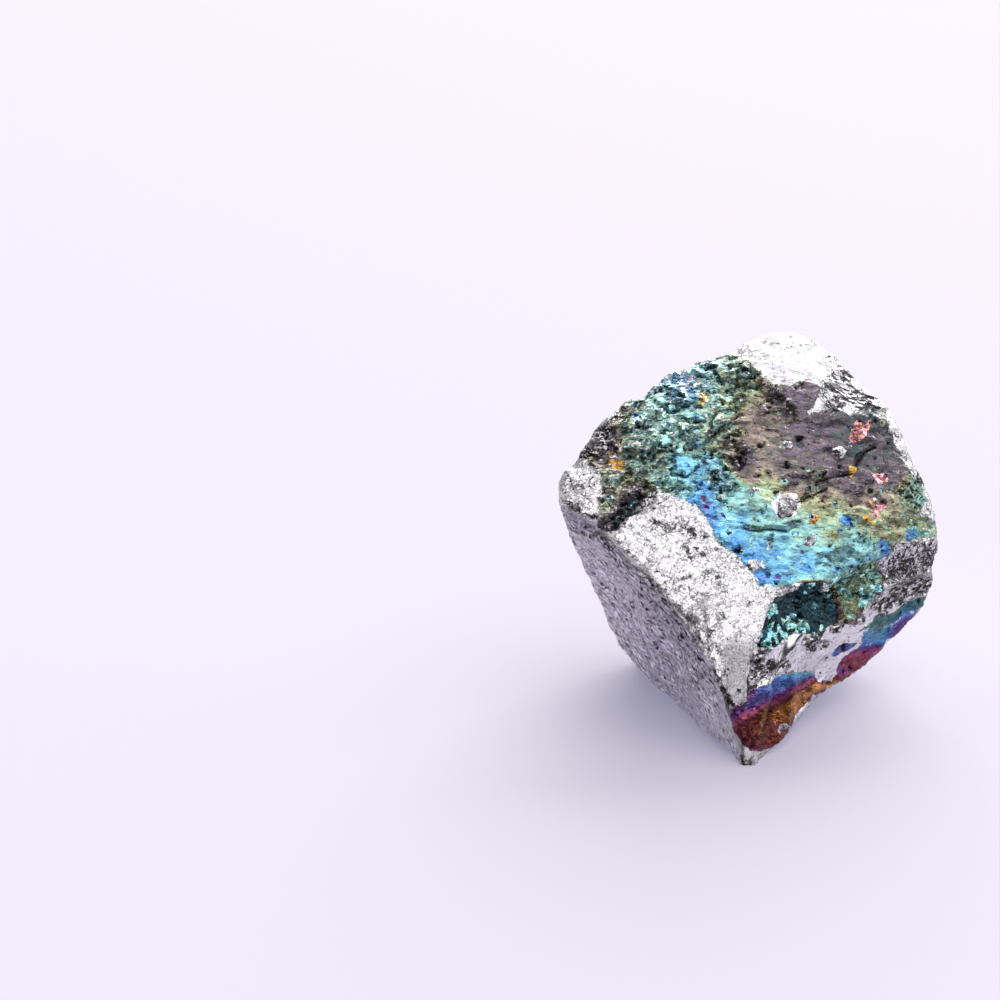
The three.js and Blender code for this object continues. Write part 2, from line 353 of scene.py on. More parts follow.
film["notchGreen"] = {
    "outline": [
        (17, 34.5), (19, 36), (22, 37.5), (24.5, 38), (26.5, 36), (24, 33), (22, 30), (20.5, 27.5),
        (18, 27.5), (18.5, 30), (17.5, 32.5),
    ],
    "ragged": 0.9, "mottle": 0.6, "glint": 0.3, "tone": 1.3,
    "stains": [(22, 36, 3, 0.63, 0.8), (20, 31.5, 3, 0.67, 0.95), (19, 28.5, 2, 0.7, 0.9)],
}
film["toe"] = {
    "outline": [
        (-3, 10), (-1, 11.5), (2.5, 13), (7.5, 15), (10.5, 16.5), (13, 17), (14, 15.5), (12, 12.5),
        (10.5, 10.5), (9, 8), (7.5, 5.5), (5, 3.5), (0.5, 3), (-1, 5), (-2.5, 7.5),
    ],
    "ragged": 0.4, "mottle": 0.28,
    "stains": [
        (-1, 10.8, 2.2, 0.33, 0.4), (3.5, 12.4, 2.2, 0.32, 0.4), (8, 14.8, 1.5, 0.27, 0.4),
        (1.5, 6, 3, 0.21, 0.5), (5, 7, 3, 0.195, 0.5), (6.5, 10.8, 3, 0.155, 0.5),
        (9, 12, 2.5, 0.135, 0.5), (11.5, 14.5, 2, 0.085, 0.3),
    ],
}
film["blueBlade"] = {
    "outline": [
        (0.5, 14), (3.5, 15.5), (6.5, 17.5), (9, 18), (13, 18), (13, 16.5), (7.5, 14.6), (2.5, 12.5),
        (0.5, 12),
    ],
    "ragged": 0.8, "soft": 1.4, "mottle": 0.3, "tone": 1.1,
    "stains": [(6, 15, 9, 0.395, 0.2)],
}
film["goldRidge"] = {
    "outline": [(12.5, 14.5), (14.5, 16.5), (17, 17.7), (21, 18.7), (18.5, 16), (15.5, 14.8), (13, 13)],
    "ragged": 0.4, "soft": 0.8, "mottle": 0.2, "stains": [(16, 16, 9, 0.072, 0.2)],
}
film["leaf"] = {
    "outline": [(16, 21.5), (17.5, 23.5), (20, 24), (22, 23.5), (21, 23), (19, 22), (17, 21.3)],
    "ragged": 0.15, "mottle": 0.1, "stains": [(19, 22.5, 9, 0.365, 0.15)],
}
film["flame"] = {
    "outline": [
        (17, 17), (17.5, 19), (19, 21), (21.5, 22.5), (24, 24), (26.5, 24), (25.5, 21.5), (23.5, 19.5),
        (21.5, 18), (19, 17.3),
    ],
    "ragged": 0.5, "soft": 0.6, "mottle": 0.3,
    "stains": [(24, 22.5, 3, 0.26, 0.3), (19, 19, 3, 0.28, 0.3), (22, 19, 2, 0.19, 0.3)],
}
film["paleBlade"] = {
    "outline": [(21.5, 22.7), (22.5, 25.5), (25, 27), (28.5, 27), (28, 25), (26.5, 24), (24, 24)],
    "ragged": 0.5, "soft": 0.8, "mottle": 0.3, "tone": 0.8,
    "stains": [(25, 25, 9, 0.49, 0.3)],
}
film["tealBlade"] = {
    "outline": [
        (21.5, 25.7), (24.5, 27.5), (25.5, 29), (28.5, 29.5), (31, 31), (35, 33), (37, 32), (34, 29.5),
        (31, 29), (28.5, 27.5), (25, 26.7),
    ],
    "ragged": 0.2, "mottle": 0.4, "tone": 0.5,
    "stains": [(26, 28, 5, 0.6, 0.4), (33, 31, 4, 0.52, 0.5)],
}
film["violetTip"] = {
    "outline": [(27, 25), (28.5, 27.3), (31, 28.7), (34, 29.3), (31.5, 26), (28.5, 24)],
    "ragged": 0.4, "soft": 0.6, "mottle": 0.25, "stains": [(29, 26, 9, 0.32, 0.3)],
}

# How far outlines stray from where they are drawn, and how softly things begin and end, in mm.
layout = {
    "stray": {"size": 6, "amount": 4, "seeds": (11.3, 47.9), "outlineShare": 0.25},
    "tinyStray": {"size": 1.6, "amount": 1.6, "seeds": (7.7, 31.1)},
    "seenFrom": (-0.12, 0.02),  # how far a face must turn to the viewer to carry the markings
    "regionRim": 0.35,
    "brokenRim": (-0.2, 0.5),
    "raggedRim": (-2.5, -1),
    "fleckRim": (-0.2, 0.3),
    "fleckFrom": -1,
    "edgeReach": 6,  # as far as the distance to the film's edge is told
    "crackReach": 5.0,
    "fleckReach": 3.0,
    "stillBelow": (0.3, 2.5),  # height above the floor over which the relief begins
}

# What sits in the film.
details = {
    # what brokenness takes off the mottling and the tone, and adds in black spots
    "brokenTakes": {"mottle": 0.35, "tone": 0.24, "soot": 0.18},
    # clusters of bright facets, with the noise's levels where they begin
    "glintCluster": {"size": 5, "seed": 61.7, "limits": (-0.35, 0.15)},
    # small flecks of their own colour: u, v, radius, thickness
    "flecks": [
        (-8.2, 69.8, 1, 0.075), (-9.6, 73.6, 0.7, 0.09), (-24, 57.8, 1.6, 0.07), (20.3, 56, 0.7, 0.08),
        (21.5, 63.6, 1.9, 0.03), (18.5, 46.2, 1.3, 0.46), (26, 41.7, 1.6, 0.47), (31, 43.5, 1, 0.48),
        (23, 46.5, 0.9, 0.09), (13, 47, 0.8, 0.08), (25.5, 55.3, 1.2, 0.035), (24.8, 49.2, 1.3, 0.03),
    ],
    "fleckBroken": 0.8,
    # bare knots that stand up out of it: u, v, radius
    "knots": [
        (7.2, 7, 0.9), (7.5, 49.5, 2.6), (8, 61.5, 1), (17.5, 59.5, 1.2), (4.5, 41.5, 0.6),
        (1.5, 38.5, 1.5), (1, 52.5, 0.8), (13, 43, 0.8), (9.5, 34, 0.8), (14.5, 34, 0.8), (-5.5, 52, 0.5),
        (24, 50, 0.6),
    ],
    "knotTop": 0.4,  # share of a knot's radius that is flat
    "knotHighlightGain": (1.65, -0.35),  # brightness, and its change with the radius: a painted highlight on the small knots, while the largest is painted darker
    # smooth shells that stand in the broken film: u, v, radius, thickness
    "shells": [
        (-16.7, 69.4, 1.3, 0.63), (-14.3, 68.6, 1.1, 0.59), (-10.8, 66.5, 1.4, 0.58),
        (-8.7, 65.9, 0.9, 0.56), (-15.8, 62.3, 1.8, 0.57), (-11.2, 57.6, 2.1, 0.495),
        (-12.4, 60, 1.1, 0.56), (-3.5, 69.5, 1.2, 0.64), (-19, 51.5, 1, 0.66), (-12.5, 52.5, 1.2, 0.56),
    ],
    # the line under each shell is carved and painted dark, a painted shadow; it begins this share of the
    # radius below the shell's middle, and lies this far in mm outside its rim
    "shell": {"squash": 1.3, "top": 0.7, "shadowFrom": 0.25, "shadowGap": 0.15},
    "shellLook": {"broken": 0.1, "mottle": 0.25, "tone": 1.5, "soot": 0, "worn": 0},
    # long open cracks, carved and painted dark inside as painted shade
    "cracks": [
        [(13.5, 53.5), (15.5, 54.5), (18, 55.6), (20, 56)],
        [(9.5, 50), (11, 51), (13.5, 52), (15, 52.2)],
        [(20.5, 57.5), (22.5, 59.5), (25, 60.5)],
        [(-7, 62), (-5, 64.5), (-1, 66.5)],
        [(0, 45.3), (4, 45.2), (8, 44.7)],
    ],
    # black spots lie thickest here: u, v, reach and the share that they cover
    "soot": [
        (-31, 53, 4.5, 0.34), (-33, 48, 3, 0.3), (-3, 58, 3, 0.6), (-6, 54.5, 2.5, 0.5),
        (-24, 47.5, 3, 0.45), (-19, 50.5, 2.5, 0.6), (-31, 59, 3, 0.4), (-28, 64, 3, 0.4),
        (-24, 68, 3, 0.4), (-6, 76, 3, 0.5), (-1, 75, 3, 0.5), (-14, 70, 2, 0.3), (-10, 70, 2, 0.4),
        (31, 51.5, 2.5, 0.6), (33, 54, 2, 0.6), (30.5, 38, 4.5, 0.75), (35.5, 39.5, 3.5, 0.8),
        (26, 37, 3, 0.45), (22, 38, 2, 0.4), (-16, 52.5, 2, 0.3), (15, 49.5, 2.5, 0.35), (13, 53, 2, 0.3),
        (2, 56, 1.5, 0.3), (9, 55, 2, 0.25), (28.5, 62, 1.5, 0.45), (30.5, 58.5, 1.5, 0.45),
        (32, 55.5, 1.5, 0.4), (3, 81.5, 2, 0.3), (8, 82, 2, 0.35), (12, 80.5, 2, 0.35),
        (16, 77.5, 2.5, 0.4), (19, 74, 2.5, 0.4), (22, 70.5, 2.5, 0.4), (-12, 29, 1, 0.25),
        (-9, 24.5, 0.8, 0.3), (-7, 20, 0.7, 0.3), (-16, 34, 1, 0.25),
    ],
    # stains on the sides away from the viewer: the noise's level and slope at their edges, how far a side
    # must turn away, and the film's thickness there
    "hidden": {"size": 24, "seed": 83.1, "level": 0.16, "slope": 18, "turn": (-0.6, -0.35),
               "thickness": 0.55, "spread": 0.9, "spreadSize": 0.6, "spreadSeed": 5.7,
               "limits": (0.05, 1)},
    "hiddenLook": {"mottle": 0.8, "glint": 0.0, "worn": 0.0, "ragged": 1.0, "tone": 1.0},
}

# The bare faces: their outlines, and the way that the grain of each one runs.
faces = {
    # the bright face's foot: the flakes turn up into the light below v, and right of u it is painted
    # darker and duller, as painted shade
    "foot": {"turnsBelow": (24, 34), "shadedRightOf": (-5.5, -3.5), "shadedBelow": (21, 27), "shadeGain": 0.5,
             "shadeDullShare": 0.5, "calmBelow": (14, 26), "calmShare": 0.5},
    # the left face's dark strip along the ridge, of which half is lost at the foot
    "shoulder": {"width": (1.5, 6), "lostAtFoot": 0.5, "gain": 0.8},
    "film": {"grain": (1, 0, 0), "grainKeep": 0.55},
    "sweep": {"grain": (0.77, 0.51, -0.38), "grainKeep": 0.45},  # the broken film's furrows
    # painted light: the left face and its foot are lifted by this gain
    "gain": {"left": 1.13, "leftFoot": 1.03},  # brightness
    "leftFootPaintedLight": 0.85,  # how much of the left face's dullness is taken off at its foot: painted light, the foot painted lighter
    # how broken each face is, and how many black spots it has; in the right face's broken patches the
    # black spots are painted shade
    "broken": {"plain": 0.5, "plainFoot": 0.3, "left": 0.75, "leftFoot": 0.2, "shoulder": 0, "cap": 0.12,
               "right": 0.08, "patches": 1.3},
    "soot": {"plain": 0.02, "plainFoot": 0.02, "left": 0.16, "leftFoot": 0.03, "shoulder": 0.35, "cap": 0,
             "flank": 0.62, "right": 0, "patches": 0.6},
}
faces["left"] = {
    "outline": [
        (-60, 70), (-36, 50), (-26.2, 43.6), (-18.9, 36), (-11.9, 28.4), (-7.5, 19.5), (-3.7, 11.9),
        (-1.1, 2.4), (-1, -20), (-60, -20),
    ],
    "rim": (-0.4, 0.6),
    "footBelow": (6, 24),  # v where its foot is full, and where it ends
    "grain": (-0.649, 0.470, 0.599),
    "grainKeep": 0.5,
}
faces["cap"] = {
    "outline": [
        (-1, 79), (3, 74), (6.5, 72.3), (9, 71.5), (14, 72.5), (15.5, 72.5), (16, 76), (12, 80),
        (9, 86), (2, 84),
    ],
    "rim": (-0.8, 1),
    # the broken flank beside it: u, v, reach
    "flank": [(17, 71, 3.5), (21, 70, 3), (24, 69, 2.5), (19, 74, 3), (16.5, 68.5, 2.5)],
    "flankRim": (0.6, 1.15),
    "grain": (0.9, 0.1, -0.42),
    "grainKeep": 0.35,
}
faces["right"] = {
    "outline": [
        (1.5, 22), (6.5, 25), (9.5, 25), (14.5, 26.5), (19, 27.5), (22.5, 29.5), (25.5, 33),
        (28.5, 34.5), (33, 36), (40, 36), (40, 28), (26, 14), (13, 6), (0, 10), (0, 17),
    ],
    "rim": (-0.4, 0.4),
    "grain": (0.682, 0.698, 0.218),
    "grainKeep": 0.4,
    # broken patches between the polished ones: u, v, reach
    "patches": [
        (2, 17, 2), (5, 18.5, 2), (7.5, 19.5, 1.5), (12, 23, 1.3), (14.5, 23.5, 1.3), (1.5, 20, 1.5),
        (26, 31, 2.5), (29, 33, 2.5), (33, 34, 2.5), (36, 37, 3), (31, 36, 2.5), (22, 28, 1.2),
        (17, 26, 1),
    ],
    "patchRim": (0.6, 1.1),
}


def readVectors(mesh, name):
    values = np.empty(len(mesh.vertices) * 3)
    mesh.vertices.foreach_get(name, values)
    return values.reshape(-1, 3)


def distanceTo(start, end, u, v):
    du, dv = end[0] - start[0], end[1] - start[1]
    along = np.clip(((u - start[0]) * du + (v - start[1]) * dv) / (du * du + dv * dv), 0, 1)
    return np.hypot(u - start[0] - along * du, v - start[1] - along * dv)


# Signed distance in mm from an outline, positive inside it.
def insideBy(outline, u, v):
    nearest = np.full(len(u), np.inf)
    inside = np.zeros(len(u), dtype=bool)
    for start, end in zip(outline, outline[1:] + outline[:1]):
        nearest = np.minimum(nearest, distanceTo(start, end, u, v))
        crosses = (start[1] > v) != (end[1] > v)
        rise = (end[1] - start[1]) or 1e-9
        inside ^= crosses & (u < start[0] + (end[0] - start[0]) * (v - start[1]) / rise)
    return np.where(inside, nearest, -nearest)


def eased(values, low, high):
    share = np.clip((values - low) / (high - low), 0, 1)
    return share * share * (3 - 2 * share)


def blend(first, second, share):
    return first + (second - first) * share


def noiseAt(points, size, seed):
    shift = Vector((seed, 0, 0))
    return np.array([noise.noise(Vector(point) / size + shift) for point in points.tolist()])


# Thickness and brokenness of the film at each point, from the stains nearest to it.
def spreadStains(stains, u, v):
    total = np.full(len(u), 1e-9)
    thickness = np.zeros(len(u))
    broken = np.zeros(len(u))
    for stainU, stainV, reach, value, brokenness in stains:
        distance = np.hypot(u - stainU, v - stainV) / reach
        weight = np.exp(-distance * distance) + 1e-4 / (1 + distance ** 4)
        total += weight
        thickness += weight * value
        broken += weight * brokenness
    return thickness / total, broken / total


def farFrom(places, u, v):
    return np.hypot(places[0] - u, places[1] - v)


# How far each point is into any of these round spots, which end over the rim.
def inSpots(at, spots, rim):
    inside = np.zeros(len(at.seen))
    for u, v, reach in spots:
        inside = np.maximum(inside, 1 - eased(farFrom(at.fine, u, v) / reach, *rim))
    return inside


def strayed(points, places, stray, share=1):
    shifts = [noiseAt(points, stray["size"], seed) * stray["amount"] for seed in stray["seeds"]]
    return tuple(place + shift * share for place, shift in zip(places, shifts))


# Each point's place on the front's plane: as drawn, and strayed a little or far.
def layOut(mesh):
    at = SimpleNamespace()
    at.points = readVectors(mesh, "co") / mm
    at.turned = facing(at.points, readVectors(mesh, "normal"))
    at.seen = eased(at.turned, *layout["seenFrom"])
    at.drawn = frontMap(at.points)
    stray = layout["stray"]
    at.far = strayed(at.points, at.drawn, stray)
    at.fine = strayed(at.points, at.drawn, stray, stray["outlineShare"])
    at.tiny = strayed(at.points, at.fine, layout["tinyStray"])
    at.mid = tuple((fine + tiny) / 2 for fine, tiny in zip(at.fine, at.tiny))
    return at


# Marks are the vertex values that the relief and the finish read, by name. These are the bare faces'.
def markBareFaces(at):
    seen, v = at.seen, at.drawn[1]
    leftInside = insideBy(faces["left"]["outline"], *at.fine)
    left = eased(leftInside, *faces["left"]["rim"]) * seen
    cap = eased(insideBy(faces["cap"]["outline"], *at.fine), *faces["cap"]["rim"]) * seen
    right = eased(insideBy(faces["right"]["outline"], *at.drawn), *faces["right"]["rim"]) * seen
    patches = inSpots(at, faces["right"]["patches"], faces["right"]["patchRim"])
    at.polished = right * (1 - patches)

    foot, strip = faces["foot"], faces["shoulder"]
    onBright = (1 - left) * (1 - right) * seen
    upturned = (1 - eased(v, *foot["turnsBelow"])) * onBright
    # Painted shade: right of u at its foot, the bright face is painted darker and duller.
    shadedFoot = 1 - eased(at.fine[1], *foot["shadedBelow"])
    shadedFoot = shadedFoot * eased(at.fine[0], *foot["shadedRightOf"]) * onBright
    calmed = (1 - eased(v, *foot["calmBelow"])) * (1 - left)
    leftFoot = 1 - eased(v, *faces["left"]["footBelow"])
    shoulder = 1 - eased(leftInside, *strip["width"])
    shoulder = shoulder * left * (1 - strip["lostAtFoot"] * leftFoot)

    # The gain scales the bare metal's brightness: painted light on the left face, a darker strip along
    # its ridge, and painted shade on the bright face's foot.
    gain = blend(1, blend(faces["gain"]["left"], faces["gain"]["leftFoot"], leftFoot), left)
    gain = gain * blend(1, strip["gain"], shoulder) * blend(1, foot["shadeGain"], shadedFoot)
    # Where the duller silver goes: the left face's own duller metal, and painted shade on the bright
    # face's foot.
    dullAndShaded = np.maximum(left * (1 - faces["leftFootPaintedLight"] * leftFoot), shadedFoot * foot["shadeDullShare"])
    marks = {"left": left, "cap": cap, "right": right, "upturned": upturned, "gain": gain, "dullAndShaded": dullAndShaded}
    for name in ("broken", "soot"):
        level = faces[name]
        value = blend(level["plain"], level["plainFoot"], calmed * foot["calmShare"])
        value = blend(value, blend(level["left"], level["leftFoot"], leftFoot), left)
        value = blend(np.maximum(value, level["shoulder"] * shoulder), level["cap"], cap)
        marks[name] = blend(value, blend(level["right"], level["patches"], patches), right)
    return marks


# The film on the sides away from the viewer, in stains of its own.
def markHiddenFilm(marks, at):
    hidden = details["hidden"]
    edge = (noiseAt(at.points, hidden["size"], hidden["seed"]) - hidden["level"]) * hidden["slope"]
    marks["filmEdge"] = blend(edge, -layout["edgeReach"], eased(at.turned, *hidden["turn"]))
    spread = noiseAt(at.points, hidden["size"] * hidden["spreadSize"], hidden["spreadSeed"])
    marks["thickness"] = np.clip(hidden["thickness"] + spread * hidden["spread"], *hidden["limits"])
    for name, look in details["hiddenLook"].items():
        marks[name] = np.full(len(edge), look)


# The front's regions of film, each over those before it.
def markFrontFilm(marks, at):
    cluster, takes, rim = details["glintCluster"], details["brokenTakes"], layout["regionRim"]
    clustered = eased(noiseAt(at.points, cluster["size"], cluster["seed"]), *cluster["limits"])
    for region in film.values():
        inside = insideBy(region["outline"], *at.fine)
        soft = region.get("soft", 0)
        here = eased(inside, -rim - region["ragged"] - soft, rim + soft) * at.seen
        thickness, broken = spreadStains(region["stains"], *at.far)
        laid = {
            "thickness": thickness,
            "mottle": region["mottle"] * (1 - takes["mottle"] * broken),
            "glint": region.get("glint", 0) * clustered,
            "tone": region.get("tone", 1) * (1 - takes["tone"] * broken),
            "soot": broken * broken * takes["soot"],
            "worn": broken * broken * region.get("worn", 0),
        }
        for name, values in laid.items():
            marks[name] = blend(marks[name], values, here)
        for name, value in {"broken": broken, "ragged": region["ragged"]}.items():
            marks[name] = blend(marks[name], value, eased(inside, *layout[name + "Rim"]) * at.seen)
        marks["filmEdge"] = np.maximum(marks["filmEdge"], blend(-layout["edgeReach"], inside, at.seen))


def markBlackSpots(marks, at):
    for sootU, sootV, reach, share in details["soot"]:
        distance = farFrom(at.fine, sootU, sootV) / reach
        spot = share * np.exp(-distance * distance) * at.seen * (1 - at.polished)
        marks["soot"] = np.maximum(marks["soot"], spot)
    marks["flank"] = inSpots(at, faces["cap"]["flank"], faces["cap"]["flankRim"]) * at.seen
    marks["soot"] = np.maximum(marks["soot"], marks["flank"] * faces["soot"]["flank"])


# Smooth shells with a line under each, carved and painted dark as a painted shadow, and the long cracks.
def markShells(marks, at):
    shell = details["shell"]
    crackAndShadowLine = np.full(len(at.seen), layout["crackReach"])
    for shellU, shellV, radius, value in details["shells"]:
        distance = np.hypot(at.mid[0] - shellU, (at.mid[1] - shellV) * shell["squash"])
        here = (1 - eased(distance, radius * shell["top"], radius)) * at.seen
        for name, look in {"thickness": value, **details["shellLook"]}.items():
            marks[name] = blend(marks[name], look, here)
        under = at.mid[1] < shellV - shell["shadowFrom"] * radius
        rim = np.abs(distance - radius - shell["shadowGap"])
        crackAndShadowLine = np.minimum(crackAndShadowLine, np.where(under, rim, layout["crackReach"]))
    for line in details["cracks"]:
        for start, end in zip(line, line[1:]):
            crackAndShadowLine = np.minimum(crackAndShadowLine, distanceTo(start, end, *at.fine))
    marks["crackAndShadowLine"] = blend(layout["crackReach"], crackAndShadowLine, at.seen)


def markFlecksAndKnots(marks, at):
    count = len(at.seen)
    edge = np.full(count, -layout["fleckReach"])
    marks["fleckThickness"] = np.zeros(count)
    for fleckU, fleckV, radius, value in details["flecks"]:
        inside = radius - farFrom(at.tiny, fleckU, fleckV)
        marks["fleckThickness"] = np.where(inside > layout["fleckFrom"], value, marks["fleckThickness"])
        edge = np.maximum(edge, inside)
        flecked = eased(inside, *layout["fleckRim"]) * details["fleckBroken"]
        marks["broken"] = np.maximum(marks["broken"], flecked)
    marks["fleckEdge"] = blend(-layout["fleckReach"], edge, at.seen)

    marks["knots"] = np.zeros(count)
    knotHighlightGain = np.ones(count)
    brightest, perRadius = details["knotHighlightGain"]
    for knotU, knotV, radius in details["knots"]:
        distance = farFrom(at.mid, knotU, knotV)
        here = (1 - eased(distance, radius * details["knotTop"], radius)) * at.seen
        marks["knots"] = np.maximum(marks["knots"], here)
        knotHighlightGain = blend(knotHighlightGain, brightest + perRadius * radius, here)
        bared = np.minimum(marks["filmEdge"], distance - radius)
        marks["filmEdge"] = np.where(at.seen > 0.5, bared, marks["filmEdge"])
    marks["broken"] = np.maximum(marks["broken"], marks["knots"])
    # Painted highlight: the small knots are painted brighter than the bare metal around them.
    marks["gain"] = marks["gain"] * knotHighlightGain


# Lays the film and the faces out on the copy as vertex values, later ones over earlier ones.
def markFaces(piece):
    at = layOut(piece.data)
    marks = markBareFaces(at)
    markHiddenFilm(marks, at)
    markFrontFilm(marks, at)
    markBlackSpots(marks, at)
    markShells(marks, at)
    markFlecksAndKnots(marks, at)
    marks["filmEdge"] = np.clip(marks["filmEdge"], -layout["edgeReach"], layout["edgeReach"])
    marks["hold"] = eased(at.points[:, 2], *layout["stillBelow"])
    for name, values in marks.items():
        layer = piece.data.attributes.new(name, "FLOAT", "POINT")
        layer.data.foreach_set("value", np.ascontiguousarray(values, dtype=np.float32))
    print("faces marked:", len(marks), "values at each point")


# Follows each face's own grain, and runs level in the film.
def grainedPlace(at):
    grained = at.place
    shares = {"left": at.left, "cap": marked(at, "flank"), "right": at.right, "film": at.inFilm}
    for name, share in shares.items():
        drawn = drawnOut(at.place, faces[name]["grain"], faces[name]["grainKeep"])
        grained = mixed(share, grained, drawn, "VECTOR")
    return grained


# The relief, in mm: leaning crystal facets on bare metal; flow ridges, cracks and gas pits in the film.
relief = {
    "hackleSize": 3, "hackleSlope": 0.42,
    "grainSize": 1.4, "grainSlope": 0.38,
    "shellSize": 4.5, "shellSlope": 0.42,
    "filmGrain": 0.45,  # share of the bare facets that the film keeps
    "flowSize": 5, "flowDepth": 0.45,
    "ripple": 0.35,
    "pitSize": 2.7, "pitDepth": 0.65, "pitShare": 0.42,
    "grooveSize": 5.5, "grooveDepth": 0.8,
    "crackDepth": 0.6,
    "knotHeight": 0.7,
}
# Walls are mm from full depth to none.
reliefShape = {
    "filmRim": (-0.3, 0.4),
    "levelStretch": (0.30, 0.8, 1),
    "steps": 6,
    "rippleRate": 0.55,
    "pitRadius": (0.7, 0.35),  # how much larger the largest pits are, and the least, in mm
    "pitWall": (0.35, 1.05),
    "pitBroken": (0.5, 0.9, 1, 0.3),  # shallower where the film is broken
    "crackWall": (0.10, 0.50),
    "grooveWall": (0, 0.02),
    "grooveBroken": (0.3, 0.8),
    "grooveShade": 0.8,
}
sharpAngle = 38  # degrees between faces past which an edge stays crisp


def rate(given, name):
    return calc("DIVIDE", 1, given[name])


# Two sizes of leaning facets, as strong as the face is broken, and long shells in broken film.
def facetRelief(given, at):
    at.left, at.right = marked(at, "left"), marked(at, "right")
    grained = grainedPlace(at)
    hackle = facetHeight(warped(grained, 3, 1.6), rate(given, "hackleSize"))
    grain = facetHeight(warped(grained, 1.2, 0.7), rate(given, "grainSize"))
    both = added(times(hackle, given["hackleSlope"]), times(grain, given["grainSlope"]))
    bare = times(both, at.broken)
    shell = facetHeight(at.swept, rate(given, "shellSize"))
    shells = added(times(shell, given["shellSlope"]), times(bare, given["filmGrain"]))
    return mixed(at.inFilm, bare, times(shells, at.broken))


# Long ridges that run level in the film, and ripples between them.
def flowRelief(given, at):
    level = calcVector("MULTIPLY", warped(at.place, 6, 4), reliefShape["levelStretch"])
    ridge = clouds(level, rate(given, "flowSize"), 3, 0.55)
    wave = calc("PINGPONG", times(ridge, reliefShape["steps"]), 1)
    ripples = clouds(warped(at.place, 2, 1), reliefShape["rippleRate"], 3, 0.6)
    fine = less(ripples, 0.5)
    step = fade(wave, 0, 1, -0.5, 0.5)
    return added(times(step, given["flowDepth"]), times(fine, given["ripple"]))


# Gas pits: some of the cells have one, each its own size.
def pitRelief(given, at):
    holes = cells(warped(at.place, 1, 0.7), rate(given, "pitSize"), randomness=0.9)
    roll = split(holes["Color"])
    distance = times(holes["Distance"], given["pitSize"])
    radius = timesPlus(times(roll[0], roll[0]), *reliefShape["pitRadius"])
    inPit = fade(calc("DIVIDE", distance, radius), *reliefShape["pitWall"], 1, 0)
    chosen = calc("LESS_THAN", roll[1], given["pitShare"])
    return times(inPit, chosen, fade(at.broken, *reliefShape["pitBroken"]))


# Narrow grooves that wander through the broken film.
def grooveRelief(given, at):
    wandering = less(clouds(at.swept, rate(given, "grooveSize"), 4, 0.6), 0.5)
    line = fade(calc("ABSOLUTE", wandering), *reliefShape["grooveWall"], 1, 0)
    return times(line, fade(at.broken, *reliefShape["grooveBroken"]))


def reliefTree(material):
    tree = bpy.data.node_groups.new("breakRelief", "GeometryNodeTree")
    tree.interface.new_socket("Geometry", in_out="INPUT", socket_type="NodeSocketGeometry")
    for name, value in relief.items():
        socket = tree.interface.new_socket(name, in_out="INPUT", socket_type="NodeSocketFloat")
        socket.default_value = value
    tree.interface.new_socket("Geometry", in_out="OUTPUT", socket_type="NodeSocketGeometry")
    given = addNode("NodeGroupInput", tree=tree).outputs

    at = SimpleNamespace(tree=tree)
    at.place = scaled(addNode("GeometryNodeInputPosition", tree=tree).outputs[0], 1 / mm)
    at.inFilm = fade(marked(at, "filmEdge"), *reliefShape["filmRim"])
    at.broken = marked(at, "broken")
    at.swept = drawnOut(warped(at.place, 3, 3), faces["sweep"]["grain"], faces["sweep"]["grainKeep"])
    facets = facetRelief(given, at)
    pit = pitRelief(given, at)
    groove = grooveRelief(given, at)
    crackAndShadowLine = fade(marked(at, "crackAndShadowLine"), *reliefShape["crackWall"], 1, 0)
    opened = added(times(crackAndShadowLine, given["crackDepth"]), times(groove, given["grooveDepth"]))
    sunk = added(times(pit, given["pitDepth"]), opened)
    filmOnly = times(less(flowRelief(given, at), sunk), at.inFilm)
    whole = added(facets, filmOnly, times(marked(at, "knots"), given["knotHeight"]))
    normal = addNode("GeometryNodeInputNormal", tree=tree).outputs[0]
    shift = scaled(normal, times(whole, marked(at, "hold"), mm))
    # The pits and the grooves are stored as cavity, which the finish paints dark: painted shade.
    deepest = calc("MAXIMUM", pit, times(groove, reliefShape["grooveShade"]))
    cavity = times(deepest, at.inFilm)

    named = {"Geometry": given["Geometry"], "Name": "cavity", "Value": cavity}
    keep = addNode("GeometryNodeStoreNamedAttribute", named, data_type="FLOAT", domain="POINT")
    moved = addNode("GeometryNodeSetPosition", {"Geometry": keep.outputs[0], "Offset": shift})
    plain = addNode("GeometryNodeRealizeInstances", {"Geometry": moved.outputs[0]})
    coated = addNode("GeometryNodeSetMaterial", {"Geometry": plain.outputs[0], "Material": material})
    addNode("NodeGroupOutput", {"Geometry": coated.outputs[0]})
    return tree


def carve(piece, material):
    tree = reliefTree(material)
    modifier = piece.modifiers.new("relief", "NODES")
    modifier.node_group = tree
    for item in tree.interface.items_tree:
        if item.in_out == "INPUT" and item.name in relief:
            modifier[item.identifier] = relief[item.name]
    plainMesh(piece)
    carved = piece.data
    points = readVectors(carved, "co")
    points[:, 2] = np.maximum(points[:, 2], 0)
    carved.vertices.foreach_set("co", points.ravel())
    carved.set_sharp_from_angle(angle=math.radians(sharpAngle))
    print("relief carved:", len(carved.polygons), "faces")


